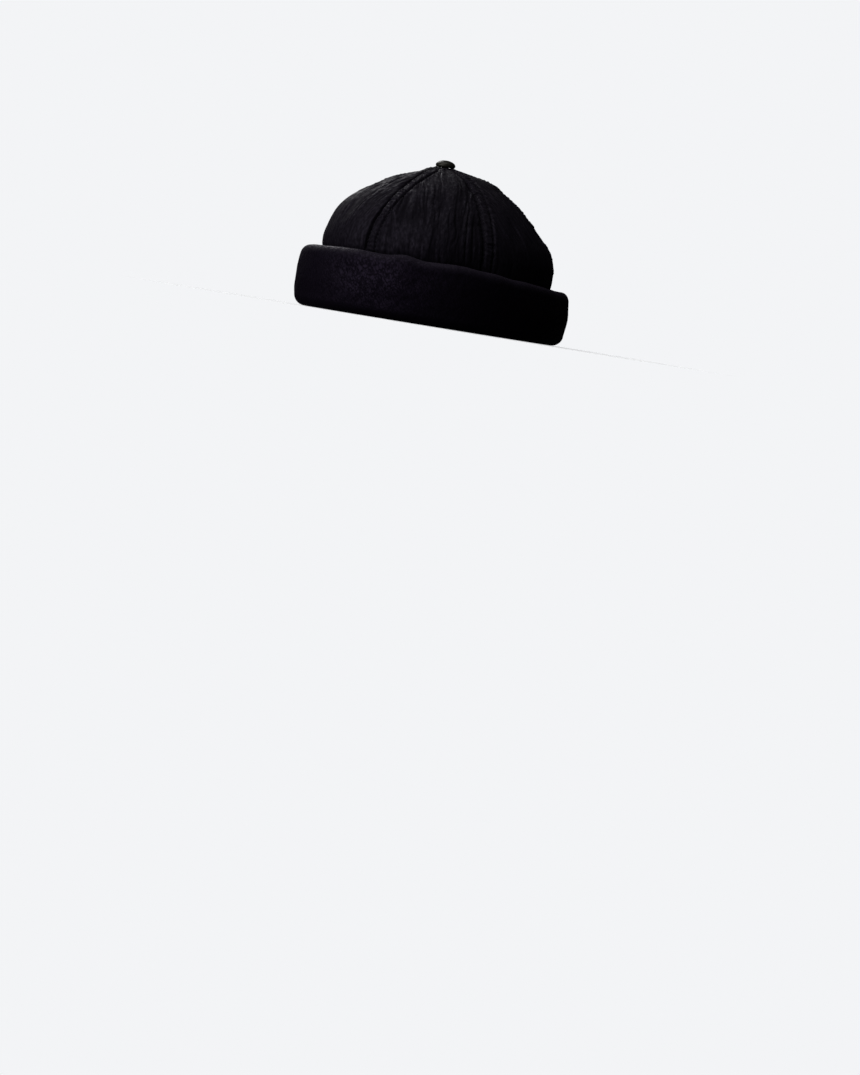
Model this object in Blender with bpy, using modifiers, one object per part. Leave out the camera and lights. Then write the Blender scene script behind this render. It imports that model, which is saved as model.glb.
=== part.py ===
"""Brimless breton fisherman cap: six sewn gores, a padded turned-up cuff and a covered button on top.

Metres, +Z up. The cap lies on z = 0 on the flattened foot of its cuff. Its front faces -Y, the wearer's
left is +X, and the origin is the middle of the cap's outline on that plane. Every turn is in degrees
from the front, round by the wearer's left.
"""
import math
from collections import namedtuple

import bmesh
import bpy
from mathutils import Vector

# Crown
CROWN_LENGTH = 0.2055      # front to back over the widest ring
CROWN_WIDTH = 0.178        # side to side over the widest ring
CROWN_TOP = 0.1243         # height of the apex
WIDEST_HEIGHT = 0.056      # height of the widest ring
DOME_POWER = 1.65          # 2 makes an elliptic dome, less a more pointed one
CROWN_LEAN = 0.007         # how far the apex lies forward of the middle
CROWN_SWAY = 0.003         # how far it lies to the wearer's right
LEAN_POWER = 6             # the higher, the closer to the apex the crown leans
CLOTH = 0.0022             # lightly padded cloth
HEM_TUCK = 0.005           # how far the hem is drawn in all round
GORES = 6
SEAM_DEPTH = 0.0036        # how far a seam lies below the middle of the gores beside it
GORE_POWER = 0.7           # the lower, the fuller the gores and the narrower the seams' valleys
APEX_EASE = 0.10           # share of the dome's rise below the apex over which its dents fade
EYE_RADIUS = 0.0037        # hole at the apex that the button's shank passes

# Cuff
CUFF_HEIGHT = 0.050
CUFF_PADDING = 0.0155      # thickness of the band outside the crown
CREST_HEIGHT = 0.008       # height of the rounded top edge
FOOT_ROUND = 0.009         # radius of the outer bottom edge
CUFF_BELLY = 0.0012        # how far the outer face swells between its edges
FOLD = 0.003               # thickness of the fold that turns in under the crown's hem
FOLD_ROUND = 0.0014        # radius of the fold's inner bottom edge

# Button
BUTTON_WIDTH = 0.0156
BUTTON_DOME = 0.0040       # height of the dome above the button's edge
BUTTON_EDGE = 0.0016       # height of the edge below the dome
BUTTON_TILT = 3.0          # degrees towards the front
SHANK_DEPTH = 0.0050       # how far the shank reaches below the button's underside

# Clearances
GAP = 0.0003               # between pieces that are sewn together
SHANK_PLAY = 0.0007        # round the shank in its eye
BUTTON_SEAT = 0.0004       # under the button, at its middle

# Mesh steps
GORE_COLUMNS = 8
SIDE_ROWS = 4
DOME_ROWS = 12
CUFF_COLUMNS = 84
FOOT_STEPS = 4
CREST_STEPS = 6
BUTTON_STEPS = 5
BUTTON_SIDES = 20

HEM_HEIGHT = FOLD + GAP

# Broad dents of the crown. Heights are shares of the dome's rise, and depth is a share of SEAM_DEPTH,
# below zero where the cloth swells out.
Dent = namedtuple("Dent", "turn height half_turn half_height depth")
DENTS = (
    Dent(304, 0.45, 55, 0.34, -1.00),
    Dent(304, 0.93, 60, 0.14, 2.10),
    Dent(124, 0.50, 50, 0.30, 0.85),
    Dent(124, 0.93, 60, 0.14, -1.70),
    Dent(118, 0.40, 16, 0.12, 0.60),
    Dent(37, 0.52, 5, 0.26, 0.42),
    Dent(-24, 0.34, 8, 0.20, 0.40),
    Dent(82, 0.40, 7, 0.24, 0.50),
    Dent(148, 0.42, 8, 0.26, 0.45),
    Dent(207, 0.30, 9, 0.20, 0.50),
    Dent(266, 0.46, 7, 0.24, 0.40),
)

# The cuff's wavy edge. Height is a share of CUFF_HEIGHT, and padding of CUFF_PADDING.
Station = namedtuple("Station", "turn height padding")
CUFF_STATIONS = (
    Station(0, 0.98, 1.00),
    Station(14, 0.96, 0.97),
    Station(24, 1.00, 0.99),
    Station(33, 0.95, 0.96),
    Station(48, 0.97, 0.98),
    Station(62, 0.94, 0.97),
    Station(76, 0.90, 0.96),
    Station(90, 0.88, 1.00),
    Station(108, 0.85, 0.98),
    Station(132, 0.86, 0.97),
    Station(158, 0.90, 0.99),
    Station(180, 0.89, 1.00),
    Station(205, 0.92, 0.97),
    Station(236, 0.96, 0.98),
    Station(270, 0.98, 1.00),
    Station(300, 0.955, 0.99),
    Station(332, 0.965, 0.98),
)
CUFF_LOW = min(station.height for station in CUFF_STATIONS)


def clear_scene():
    for thing in list(bpy.data.objects):
        bpy.data.objects.remove(thing)


def cloth_material(name, colour, roughness):
    """A plain cloth finish."""
    material = bpy.data.materials.new(name)
    material.use_nodes = True
    shader = material.node_tree.nodes["Principled BSDF"]
    shader.inputs["Base Color"].default_value = (*colour, 1.0)
    shader.inputs["Roughness"].default_value = roughness
    shader.inputs["Metallic"].default_value = 0.0
    return material


def add_object(name, mesh, material, collection):
    """Puts a mesh in the cap's collection, smooth, with its material."""
    mesh.materials.append(material)
    piece = bpy.data.objects.new(name, mesh)
    collection.objects.link(piece)
    mesh.shade_smooth()
    return piece


def between(low, high, share):
    return low + (high - low) * share


def ease(share):
    """A smooth step from 0 to 1 as the share goes from 0 to 1."""
    share = max(0.0, min(1.0, share))
    return share * share * (3.0 - 2.0 * share)


def dome_rise(height):
    """How far a height lies up the dome, from 0 at the widest ring to 1 at the apex."""
    return min(1.0, max(0.0, (height - WIDEST_HEIGHT) / (CROWN_TOP - WIDEST_HEIGHT)))


def seam_share(turn, height):
    """How much of the seams' depth shows at a point: 1 in a seam, 0 in the middle of a gore."""
    across = (turn % (360 / GORES)) / (360 / GORES)
    above_hem = ease((height - HEM_HEIGHT) / (WIDEST_HEIGHT - HEM_HEIGHT))
    below_apex = math.sqrt(1.0 - dome_rise(height))
    return above_hem * below_apex * (1.0 - math.sin(math.pi * across) ** GORE_POWER)


def dent_share(turn, height):
    """How much of the seams' depth the broad dents take at a point; they fade out at the apex."""
    total = 0.0
    fade = ease((1.0 - dome_rise(height)) / APEX_EASE)
    for dent in DENTS:
        aside = ((turn - dent.turn + 180) % 360 - 180) / dent.half_turn
        above = (dome_rise(height) - dent.height) / dent.half_height
        if abs(aside) < 1 and abs(above) < 1:
            total += fade * dent.depth * (1 - aside ** 2) ** 2 * (1 - above ** 2) ** 2
    return total


def crown_point(turn, height, proud=0.0):
    """A point on the crown's outer face, or the given distance outside it."""
    rise = dome_rise(height)
    reach = (1.0 - rise ** DOME_POWER) ** (1.0 / DOME_POWER)
    above_hem = (height - HEM_HEIGHT) / (WIDEST_HEIGHT - HEM_HEIGHT)
    tuck = HEM_TUCK * max(0.0, 1.0 - max(0.0, above_hem)) ** 2
    relief = SEAM_DEPTH * (seam_share(turn, height) + dent_share(turn, height))
    outward = proud - tuck - relief
    angle = math.radians(turn)
    x = (CROWN_WIDTH / 2 * reach + outward) * math.sin(angle)
    y = -(CROWN_LENGTH / 2 * reach + outward) * math.cos(angle)
    return Vector((x, y, height)) + apex_shift(rise)


def apex_shift(rise):
    """How far the crown lies from the middle of the cap's outline, up the dome's rise."""
    return Vector((-CROWN_SWAY, -CROWN_LEAN, 0.0)) * rise ** LEAN_POWER


def side_heights():
    """Heights of the crown's rows below the widest ring."""
    return [between(HEM_HEIGHT, WIDEST_HEIGHT, step / SIDE_ROWS) for step in range(SIDE_ROWS)]


def crown_heights():
    """Heights of all of the crown's rows, from the hem to the eye at the apex."""
    eye_reach = EYE_RADIUS / (CROWN_WIDTH / 2)
    last = math.acos(eye_reach ** (DOME_POWER / 2))
    rises = [math.sin(last * step / DOME_ROWS) ** (2 / DOME_POWER) for step in range(DOME_ROWS + 1)]
    return side_heights() + [between(WIDEST_HEIGHT, CROWN_TOP, rise) for rise in rises]


def loft(name, rows, closed=False):
    """A mesh through rows of points that run round to the left and follow each other upwards.

    A closed loft joins each row's ends, and the last row to the first.
    """
    build = bmesh.new()
    grid = [[build.verts.new(point) for point in row] for row in rows]
    columns = len(grid[0])
    if closed:
        grid.append(grid[0])
    for low, high in zip(grid, grid[1:]):
        for left in range(columns if closed else columns - 1):
            right = (left + 1) % columns
            build.faces.new((low[left], low[right], high[right], high[left]))
    mesh = bpy.data.meshes.new(name)
    build.to_mesh(mesh)
    build.free()
    return mesh


def gore_row(first_turn, height):
    """One row of a gore, which stops half a gap short of the seams at its two sides."""
    middle = crown_point(first_turn + 180 / GORES, height) - apex_shift(dome_rise(height))
    margin = math.degrees(GAP / 2 / middle.xy.length)
    last_turn = first_turn + 360 / GORES
    shares = [column / GORE_COLUMNS for column in range(GORE_COLUMNS + 1)]
    return [crown_point(between(first_turn + margin, last_turn - margin, share), height) for share in shares]


def make_gore(number, material, collection):
    """One sewn panel of the crown, from the hem to the eye at the apex."""
    name = f"crown_gore_{number}"
    first_turn = (number - 1) * 360 / GORES
    rows = [gore_row(first_turn, height) for height in crown_heights()]
    gore = add_object(name, loft(name, rows), material, collection)
    wall = gore.modifiers.new("cloth", "SOLIDIFY")
    wall.thickness = CLOTH
    wall.offset = -1
    wall.use_even_offset = True
    return gore


def cuff_station(turn):
    """The cuff's height and padding at a turn, eased between the stations on either side."""
    turn = turn % 360
    ring = list(CUFF_STATIONS) + [CUFF_STATIONS[0]._replace(turn=360)]
    for low, high in zip(ring, ring[1:]):
        if low.turn <= turn <= high.turn:
            share = (turn - low.turn) / (high.turn - low.turn)
            height = CUFF_HEIGHT * between(low.height, high.height, ease(share))
            return height, CUFF_PADDING * between(low.padding, high.padding, ease(share))
    raise ValueError("a turn lies outside the stations")


def ring_point(turn, outward, height):
    """A point at a distance outside the crown's widest ring."""
    angle = math.radians(turn)
    x = (CROWN_WIDTH / 2 + outward) * math.sin(angle)
    y = -(CROWN_LENGTH / 2 + outward) * math.cos(angle)
    return Vector((x, y, height))


def cuff_section(turn):
    """The cuff's outline at a turn, from the fold under the hem, out along the foot, and over the crest."""
    height, padding = cuff_station(turn)
    crest_base = height - CREST_HEIGHT
    face = GAP + padding
    edge = face - CUFF_BELLY
    fold = -HEM_TUCK - CLOTH
    section = [
        ring_point(turn, fold, FOLD),
        ring_point(turn, fold, FOLD_ROUND),
        ring_point(turn, fold + FOLD_ROUND, 0.0),
    ]
    for step in range(FOOT_STEPS + 1):
        angle = math.pi / 2 * step / FOOT_STEPS
        outward = edge - FOOT_ROUND * (1 - math.sin(angle))
        section.append(ring_point(turn, outward, FOOT_ROUND * (1 - math.cos(angle))))
    section.append(ring_point(turn, face, between(FOOT_ROUND, crest_base, 0.5)))
    for step in range(CREST_STEPS + 1):
        angle = math.pi * step / CREST_STEPS
        level = crest_base + CREST_HEIGHT * math.sin(angle)
        outer = ring_point(turn, edge, level)
        section.append(outer.lerp(crown_point(turn, level, GAP), 0.5 - 0.5 * math.cos(angle)))
    behind = [level for level in side_heights()[1:] if level < CUFF_LOW * CUFF_HEIGHT - CREST_HEIGHT]
    section += [crown_point(turn, level, GAP) for level in reversed(behind)]
    section.append(ring_point(turn, GAP - HEM_TUCK, FOLD))
    return section


def make_cuff(material, collection):
    """The padded band, turned up all round, with its fold under the crown's hem."""
    sections = [cuff_section(360 * column / CUFF_COLUMNS) for column in range(CUFF_COLUMNS)]
    rows = list(zip(*sections))
    return add_object("cuff", loft("cuff", rows, closed=True), material, collection)


def button_profile():
    """Half the button's outline as (radius, height) above its underside, from the dome down to the shank."""
    radius = BUTTON_WIDTH / 2
    shank = EYE_RADIUS - SHANK_PLAY
    profile = []
    for step in range(BUTTON_STEPS + 1):
        angle = math.pi / 2 * step / BUTTON_STEPS
        profile.append((radius * math.sin(angle), BUTTON_EDGE + BUTTON_DOME * math.cos(angle)))
    profile.append((radius - BUTTON_EDGE / 2, 0.0))
    profile.append((shank, 0.0))
    profile.append((shank, -SHANK_DEPTH))
    profile.append((0.0, -SHANK_DEPTH))
    return profile


def make_button(material, collection):
    """A turned button that sits on the apex, with its shank down the eye."""
    points = [(radius, 0.0, height) for radius, height in button_profile()]
    edges = [(index, index + 1) for index in range(len(points) - 1)]
    mesh = bpy.data.meshes.new("top_button")
    mesh.from_pydata(points, edges, [])
    button = add_object("top_button", mesh, material, collection)
    turned = button.modifiers.new("turned", "SCREW")
    turned.axis = "Z"
    turned.steps = BUTTON_SIDES
    turned.render_steps = BUTTON_SIDES
    turned.use_merge_vertices = True
    turned.merge_threshold = 0.0001
    button.location = apex_shift(1.0) + Vector((0.0, 0.0, CROWN_TOP + BUTTON_SEAT))
    button.rotation_euler = (math.radians(BUTTON_TILT), 0.0, 0.0)
    return button


def main():
    clear_scene()
    collection = bpy.data.collections.new("fisherman_cap")
    bpy.context.scene.collection.children.link(collection)
    crown_cloth = cloth_material("crown_cloth", (0.010, 0.009, 0.012), 0.62)
    cuff_cloth = cloth_material("cuff_cloth", (0.007, 0.006, 0.009), 0.70)
    button_cloth = cloth_material("button_cloth", (0.012, 0.012, 0.011), 0.45)
    for number in range(1, GORES + 1):
        make_gore(number, crown_cloth, collection)
    make_cuff(cuff_cloth, collection)
    make_button(button_cloth, collection)


main()
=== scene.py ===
"""Looks of the brimless breton fisherman cap: crinkled gores, a padded cuff, seams, stitches and button.

Metres, +Z up, front at -Y, wearer's left at +X. Every turn is in degrees from the front, round by the
wearer's left. The shapes follow the same formulas as the cap's solids, with finer steps and the cloth's
own relief on top.
"""
import math
from collections import namedtuple

import bpy
import numpy as np
from mathutils import Matrix, Vector


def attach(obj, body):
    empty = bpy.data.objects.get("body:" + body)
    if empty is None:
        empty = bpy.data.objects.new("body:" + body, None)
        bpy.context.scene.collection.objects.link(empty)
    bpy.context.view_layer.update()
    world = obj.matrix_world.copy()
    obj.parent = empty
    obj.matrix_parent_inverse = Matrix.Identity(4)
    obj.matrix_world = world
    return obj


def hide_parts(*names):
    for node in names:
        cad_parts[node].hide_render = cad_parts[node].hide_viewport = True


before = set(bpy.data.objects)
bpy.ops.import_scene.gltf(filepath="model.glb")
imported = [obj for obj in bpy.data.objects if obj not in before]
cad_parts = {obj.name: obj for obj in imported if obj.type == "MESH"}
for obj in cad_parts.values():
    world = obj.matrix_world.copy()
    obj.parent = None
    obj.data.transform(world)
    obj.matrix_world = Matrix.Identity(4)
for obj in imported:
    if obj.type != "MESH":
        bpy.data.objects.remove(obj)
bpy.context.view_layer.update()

# Crown
CROWN_LENGTH = 0.2055
CROWN_WIDTH = 0.178
CROWN_TOP = 0.1243
WIDEST_HEIGHT = 0.056
DOME_POWER = 1.65
CROWN_LEAN = 0.007
CROWN_SWAY = 0.003
LEAN_POWER = 6
CLOTH = 0.0022
HEM_TUCK = 0.005
GORES = 6
SEAM_DEPTH = 0.0036
GORE_POWER = 0.7
APEX_EASE = 0.10
EYE_RADIUS = 0.0037

# Cuff
CUFF_HEIGHT = 0.050
CUFF_PADDING = 0.0155
CREST_HEIGHT = 0.008
FOOT_ROUND = 0.009
CUFF_BELLY = 0.0012
FOLD = 0.003
FOLD_ROUND = 0.0014

# Button
BUTTON_WIDTH = 0.0156
BUTTON_DOME = 0.0040
BUTTON_EDGE = 0.0016
BUTTON_TILT = 3.0
SHANK_DEPTH = 0.0050
SHANK_PLAY = 0.0007
BUTTON_SEAT = 0.0004

GAP = 0.0003
HEM_HEIGHT = FOLD + GAP
GORE_ANGLE = 360 / GORES

# Broad dents of the crown. Heights are shares of the dome's rise, and depth is a share of SEAM_DEPTH,
# below zero where the cloth swells out.
Dent = namedtuple("Dent", "turn height half_turn half_height depth")
DENTS = (
    Dent(304, 0.45, 55, 0.34, -1.00),
    Dent(304, 0.93, 60, 0.14, 2.10),
    Dent(124, 0.50, 50, 0.30, 0.85),
    Dent(124, 0.93, 60, 0.14, -1.70),
    Dent(118, 0.40, 16, 0.12, 0.60),
    Dent(37, 0.52, 5, 0.26, 0.42),
    Dent(-24, 0.34, 8, 0.20, 0.40),
    Dent(82, 0.40, 7, 0.24, 0.50),
    Dent(148, 0.42, 8, 0.26, 0.45),
    Dent(207, 0.30, 9, 0.20, 0.50),
    Dent(266, 0.46, 7, 0.24, 0.40),
)

# The cuff's wavy edge. Height is a share of CUFF_HEIGHT, and padding of CUFF_PADDING.
Station = namedtuple("Station", "turn height padding")
CUFF_STATIONS = (
    Station(0, 0.98, 1.00),
    Station(14, 0.96, 0.97),
    Station(24, 1.00, 0.99),
    Station(33, 0.95, 0.96),
    Station(48, 0.97, 0.98),
    Station(62, 0.94, 0.97),
    Station(76, 0.90, 0.96),
    Station(90, 0.88, 1.00),
    Station(108, 0.85, 0.98),
    Station(132, 0.86, 0.97),
    Station(158, 0.90, 0.99),
    Station(180, 0.89, 1.00),
    Station(205, 0.92, 0.97),
    Station(236, 0.96, 0.98),
    Station(270, 0.98, 1.00),
    Station(300, 0.955, 0.99),
    Station(332, 0.965, 0.98),
)

# Seams: each gore's lower-turn edge carries the folded allowance, held down by two rows of stitches.
BAND_WIDTH = 0.0088        # from the seam to the outer row of stitches
BAND_SHARE = 0.30          # the most of a gore's width that the band takes near the apex
BAND_RISE = 0.00070
FIRST_ROW = 0.0018         # from the seam to the inner row of stitches
SEAM_CREASE = 0.0020
SEAM_CREASE_WIDTH = 0.0010
ROW_DEPTH = 0.0017
ROW_WIDTH = 0.0009
INNER_ROW_DEPTH = 0.55     # as a share of the outer row's
INNER_ROW_WIDTH = 0.7
SWELL_HEIGHT = 0.0003      # how far the cloth swells out beside the rows and the seam
ROW_SWELL_AT = 0.0026
ROW_SWELL_WIDTH = 0.0018
EDGE_SWELL_AT = 0.0030
EDGE_SWELL_WIDTH = 0.0022
EDGE_SHARE = 0.8           # how strong the relief is at a gore's other edge
PUCKER_SPACING = 0.0034
PUCKER_HEIGHT = 0.00045
PUCKER_REACH = 0.0070
PUCKER_WIDTH = 0.010
PUCKER_MIDDLE = 0.55       # as a share of the band
EDGE_PUCKER_SPACING = 1.5  # as shares of the spacing and the reach at the band
EDGE_PUCKER_REACH = 0.6
WOBBLE_ACROSS = 0.004
WOBBLE_ALONG = 0.006
LADDER_HEIGHT = 0.00028    # the even puckers between the two rows of stitches
LADDER_WOBBLE = 2.2
LADDER_LEAST = 0.7
LADDER_RANGE = 0.6
SEAM_SHADE_WIDTH = 1.3    # the width of the painted shade along the seam, as a share of SEAM_CREASE_WIDTH
INNER_ROW_SHADE = 0.5         # the painted shade along the inner row, as a share of the outer row's
STITCH_PITCH = 0.0034
STITCH_LENGTH = 0.0026
STITCH_RADIUS = 0.00022
STITCH_LIFT = 0.55         # how far a stitch's middle is above the cloth, as a share of its radius
STITCH_DIP = 0.00030       # how far its ends go down
STITCH_SIDES = 6
STITCH_FREE_BELOW = 8      # rows of the panel without stitches, above the hidden ones and at the top
STITCH_FREE_ABOVE = 6
STITCH_AHEAD = 0.001       # how far ahead a stitch's direction is taken

# Rings of a stitch: where each lies from its middle to its end, and how thick the thread is there.
STITCH_RINGS = ((-0.92, 0.55), (-0.6, 0.95), (0.0, 1.0), (0.6, 0.95), (0.92, 0.55))

# Crinkles of the cloth. On the crown they run up each gore beside its middle line. Across and along are
# the sizes of a crinkle, run is how far it keeps its strength, height is how far it stands out, pleat is
# how narrow its valleys are, from 0 to 1, and slant is how many degrees it leans from upright.
Crinkle = namedtuple("Crinkle", "across along run height pleat slant seed")
CROWN_CRINKLES = (
    Crinkle(0.0160, 0.200, 0.040, 0.00050, 0.2, 6, 11),
    Crinkle(0.0080, 0.110, 0.020, 0.00052, 0.8, 7, 12),
    Crinkle(0.0052, 0.070, 0.013, 0.00046, 0.9, 7, 13),
    Crinkle(0.0032, 0.030, 0.008, 0.00014, 0.8, 6, 14),
    Crinkle(0.0080, 0.009, 0.010, 0.00014, 0.3, 0, 15),
)
CRINKLE_START_ACROSS = 0.3      # where in their noise the crown's crinkles start, in metres
CRINKLE_START_UP = 0.1
CRINKLE_WANDER = 0.0014
WANDER_ACROSS = 0.010
WANDER_UP = 0.014
PLEAT_POWER = 0.6
PLEAT_PATCHES = 1.2        # how unevenly the pleated crinkles are spread, and the width of a patch of them
PLEAT_PATCH_WIDTH = 0.8
PLEAT_PATCH_START = 0.37
VALLEY_FROM = 0.00010      # crinkles higher than this get painted shade in their valleys
VALLEY_WIDTH = 0.34
VALLEY_SHADE = 0.95
VALLEY_MEAN = 0.35
VALLEY_RANGE = 1.3
PATCH_MEAN = 0.85          # how strong the crinkles are over a gore, and the size of its livelier patches
PATCH_RANGE = 0.35
PATCH_SIZE = 0.03
BAND_CALM = 0.45           # how much calmer they are on the folded band
BAND_CALM_REACH = 0.6
NARROW_WIDTH = 0.016       # they fade to half where the gore is narrower than this
LIVELY_LOW = 0.80          # how strong they are at the cuff, and how much they gain towards the apex
LIVELY_GAIN = 0.45
LIVELY_RISE = 0.9
GORE_CRINKLES = (1.0, 0.85, 0.6, 0.55, 0.6, 0.6)      # how crinkled each gore is, from the first one
CUFF_CRINKLES = (
    Crinkle(0.036, 0.022, 0.020, 0.00034, 0.0, 0, 21),
    Crinkle(0.0100, 0.0090, 0.010, 0.00012, 0.0, 0, 22),
    Crinkle(0.0034, 0.0060, 0.006, 0.00006, 0.5, -42, 23),
    Crinkle(0.0034, 0.0060, 0.006, 0.00006, 0.5, 40, 24),
)

# The cloth is gathered towards the apex, and drawn in and gathered where it goes down behind the cuff.
APEX_GATHER_TURN = 7.0
APEX_GATHER_HEIGHT = 0.0003
APEX_GATHER_REACH = 0.026
APEX_GATHER_LENGTH = 0.030
APEX_GATHER_START = 0.004
APEX_CALM = 0.5
TUCK_DEPTH = 0.0024
TUCK_REACH = 0.0036
TUCK_BELOW = 0.0026        # how far below the cuff's edge the cloth is drawn in the most
GATHER_SPACING = 0.0052
GATHER_HEIGHT = 0.00045
GATHER_REACH = 0.0065
GATHER_LENGTH = 0.009
RELIEF_START = 0.004       # the way over which the relief starts behind the cuff

# The cuff's relief starts above its foot and ends behind its crest. It is joined at the back.
CUFF_RELIEF_START = 0.012
CUFF_RELIEF_END = 8        # rows
JOIN_CALM = 0.01           # as a share of the way round
JOIN_DEPTH = 0.0007
JOIN_WIDTH = 0.0012
JOIN_SWELL = 0.0003
JOIN_SWELL_AT = 0.003
JOIN_SWELL_WIDTH = 0.002
PAINTED_HIGHLIGHT_AT = 0.40           # the middle of the painted highlight along the crest, as a share of the way over the crest
PAINTED_HIGHLIGHT_REACH = 0.22

# The button's cloth is gathered under its edge.
BUTTON_GATHERS = 16
BUTTON_GATHER_HEIGHT = 0.00018
BUTTON_GATHER_START = 0.002
BUTTON_GATHER_TOP = 0.8    # as a share of BUTTON_EDGE

# The button's shank from its tip up, as shares of its radius and depth, and the points of its underside
# as shares of the way out to its edge.
SHANK_SHAPE = ((0.0, 1.0), (0.8, 1.0), (1.0, 0.85), (1.0, 0.4), (1.0, 0.0))
UNDERSIDE_SHARES = (0.3, 0.6, 1.0)

# Noise. A gore's number is added to the first five seeds, and the steps lead to the seeds of the layers
# that follow.
NOISE_CELLS = 256
WANDER_SEED = 40
GATHER_SEED = 50
PATCH_SEED = 60
APEX_SEED = 70
SEAM_SEED = 80
EDGE_SEED_STEP = 1
WOBBLE_SEED_STEP = 3
PLEAT_SEED_STEP = 50
CRINKLE_SEED_STEP = 100

# Cloths. The grain's sizes and the depths of the bumps are in metres, and its turn is in degrees.
# Colours and roughness go from the darkest and smoothest places to the lightest and roughest.
Cloth = namedtuple("Cloth", "name sheen sheen_roughness specular tint")
Grain = namedtuple("Grain", "across along turn detail")
NOISE_ROUGHNESS = 0.55
NOISE_MIDDLE = (0.3, 0.7)
NYLON_WEAVE = Grain(0.00035, 0.00035, 0, 0.0)
CROWN_CLOTH = Cloth("crown_nylon", 0.008, 0.45, 0.24, (0.82, 0.70, 1.0))
CROWN_CREASES = Grain(0.0038, 0.013, -7, 2.0)
CROWN_CREASE_WIDTH = 0.13
CROWN_CREASE_SHADE = 0.55       # how much of the cloth's colour stays in a crease, under painted shade
CROWN_GRAIN = Grain(0.0020, 0.0042, -7, 1.5)
CROWN_GRAIN_SHADE = 0.25
CROWN_PATCHES = Grain(0.020, 0.040, 0, 3.0)
# The crown's darker colour is painted shade in its grooves, valleys and creases, together with the fine
# grain's random tone.
CROWN_COLOURS = ((0.0006, 0.0004, 0.0010), (0.0076, 0.0063, 0.0103))
CROWN_ROUGHNESS = (0.44, 0.54)
CROWN_GROOVE_ROUGHNESS = 0.42   # what the grooves have on top of that
CROWN_BUMPS = (0.00010, 0.00009, 0.00005)
CUFF_CLOTH = Cloth("cuff_nylon", 0.012, 0.24, 0.20, (0.74, 0.56, 1.0))
CUFF_SLANT = Grain(0.0025, 0.0072, -38, 1.2)
CUFF_SLANT_WIDTH = 0.105
CUFF_COUNTER = Grain(0.0027, 0.0052, 44, 1.2)
CUFF_COUNTER_WIDTH = 0.080
CUFF_PATCHES = Grain(0.030, 0.020, 0, 2.0)
# The cuff's darker colour is painted shade, laid in the creases of its net.
CUFF_COLOURS = ((0.0006, 0.0004, 0.0011), (0.0036, 0.0024, 0.0055))
# Painted highlight: a paler colour along the cuff's crest, standing in for the light on it.
PAINTED_HIGHLIGHT_COLOUR = (0.0150, 0.0125, 0.0185)
CUFF_ROUGHNESS = (0.46, 0.54)
CUFF_GROOVE_ROUGHNESS = 0.34
CUFF_BUMPS = (0.00012, 0.00008, 0.00004)
BUTTON_CLOTH = Cloth("button_satin", 0.01, 0.45, 0.35, (1.0, 0.98, 0.86))
BUTTON_WEAVE = Grain(0.0005, 0.0005, 0, 1.0)
BUTTON_COLOURS = ((0.0110, 0.0110, 0.0085), (0.0165, 0.0160, 0.0130))
BUTTON_ROUGHNESS = (0.36, 0.46)
BUTTON_BUMP = 0.00004
THREAD = Cloth("thread", 0.01, 0.45, 0.25, (0.85, 0.75, 1.0))
THREAD_TWIST = Grain(0.0003, 0.0003, 0, 0.0)
THREAD_COLOURS = ((0.009, 0.008, 0.011), (0.014, 0.013, 0.017))
THREAD_ROUGHNESS = (0.40, 0.52)
THREAD_BUMP = 0.00005

# Sockets of a colour mix
MIX_FACTOR = 0
MIX_DARK = 6
MIX_LIGHT = 7
MIX_RESULT = 2

# Mesh steps
TINY = 1e-12
PANEL_PLANE_STEP = 0.2     # from one gore's cloth plane to the next one's, in metres
WALL_SAMPLES = 400
DOME_SAMPLES = 2000
GORE_COLUMNS = 176
HIDDEN_ROWS = 12
SHOWN_ROWS = 244
SHOWN_FROM = 0.036
INSIDE_STEP = 4
CUFF_COLUMNS = 980
FOLD_STEPS = 4
FOOT_STEPS = 12
FACE_STEPS = 44
CREST_STEPS = 26
INNER_STEPS = 5
BUTTON_SIDES = 96
BUTTON_EDGE_STEPS = 8
BUTTON_DOME_STEPS = 24

# Camera and light
PHOTO_WIDTH = 860
PHOTO_HEIGHT = 1075
FOOT_PIXEL = (427.9, 325.5)     # where the middle of the cap's foot lies in the photograph
CAMERA_TURN = 34.5
CAMERA_HEIGHT = 0.008
CAMERA_REACH = 2.256
CAMERA_ROLL = 9.24
LENS = 95.0
SENSOR = 36.0
BACKDROP = (0.896, 0.905, 0.922)
FILL = 0.008
FLOOR_COLOUR = (0.80, 0.805, 0.815)
FLOOR_GLOW = 0.56
FLOOR_FADE = (0.14, 0.26)       # distances from the cap's middle between which the floor fades out
FLOOR_RADIUS = 0.7
FLOOR_SIDES = 128
FLOOR_DROP = 0.0002

# Softboxes round the cap. Turn and elevation are in degrees as seen from the cap, and reach, width and
# height in metres.
Softbox = namedtuple("Softbox", "name turn elevation reach width height power")
SOFTBOXES = (
    Softbox("key", -12, 15, 1.5, 1.9, 0.9, 10.4),
    Softbox("overhead", -32, 72, 1.4, 1.0, 1.2, 5.4),
    Softbox("top_left", -124, 34, 1.5, 0.4, 0.5, 3.6),
    Softbox("backlight", 214, 3, 2.4, 0.6, 1.6, 1.8),
)

# A gore's crinkled outer face, plain face, place in the cloth's own plane, normals, distance from its
# first seam and the painted shade of its grooves and crinkle valleys, at every point of its grid.
GoreGrid = namedtuple("GoreGrid", "fine plain plane normals across grooves")


def ease(share):
    """A smooth step from 0 to 1 as the share goes from 0 to 1."""
    share = np.clip(share, 0.0, 1.0)
    return share * share * (3.0 - 2.0 * share)


def bell(distance, width):
    """A smooth bump of height 1 around a distance of 0."""
    return np.exp(-(distance / width) ** 2)


def blend(share):
    """A step from 0 to 1 that is smooth enough to join the cells of a noise."""
    return share ** 3 * (share * (share * 6 - 15) + 10)


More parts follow.
